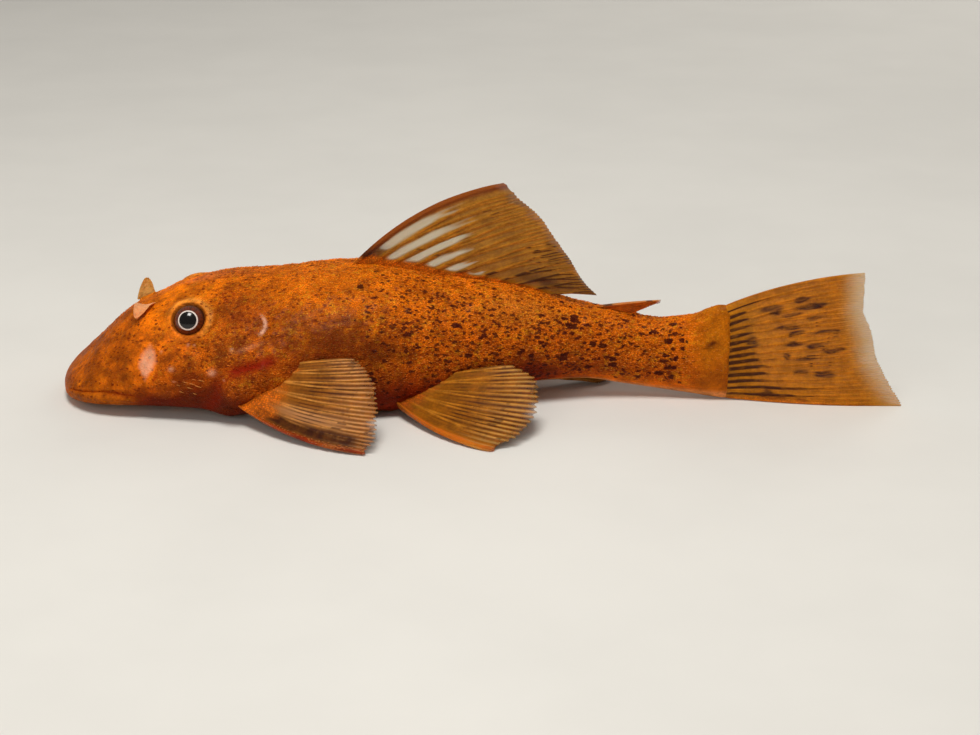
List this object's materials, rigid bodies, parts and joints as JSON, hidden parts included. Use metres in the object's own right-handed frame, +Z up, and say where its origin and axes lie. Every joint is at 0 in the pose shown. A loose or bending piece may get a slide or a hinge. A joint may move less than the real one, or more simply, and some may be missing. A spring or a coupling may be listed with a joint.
{
  "type": "bristlenose pleco, still life-size model",
  "caption": "Orange bristlenose pleco, an armoured sucker-mouth catfish, resting flat on its belly with all fins spread and the tail bent a little to its left.",
  "frame": {"origin": "on the floor, on the body's midline under the first dorsal ray, in the flat of the belly", "axes": "+X from the snout towards the tail, +Y towards the fish's right side, +Z up. The picture looks along +Y at the left side"},
  "size_m": [0.0954, 0.0422, 0.0245],
  "materials": {
    "skin": "wet orange skin over bony plates, dark red-brown flecks on the flanks",
    "fin": "thin amber web on orange rays with dark brown flecks",
    "lip": "soft pale flesh with small bumps",
    "eye": "wet black pupil, silver ring, dark brown iris"
  },
  "bodies": {
    "root": {"head": "skin", "lips": "lip", "eye_left": "eye", "eye_right": "eye", "torso": "skin", "tail_stalk": "skin", "dorsal_fin": "fin", "adipose_fin": "fin", "anal_fin": "fin", "caudal_fin": "fin", "pectoral_fin_left": "fin", "pectoral_fin_right": "fin", "pelvic_fin_left": "fin", "pelvic_fin_right": "fin"}
  },
  "joints": []
}
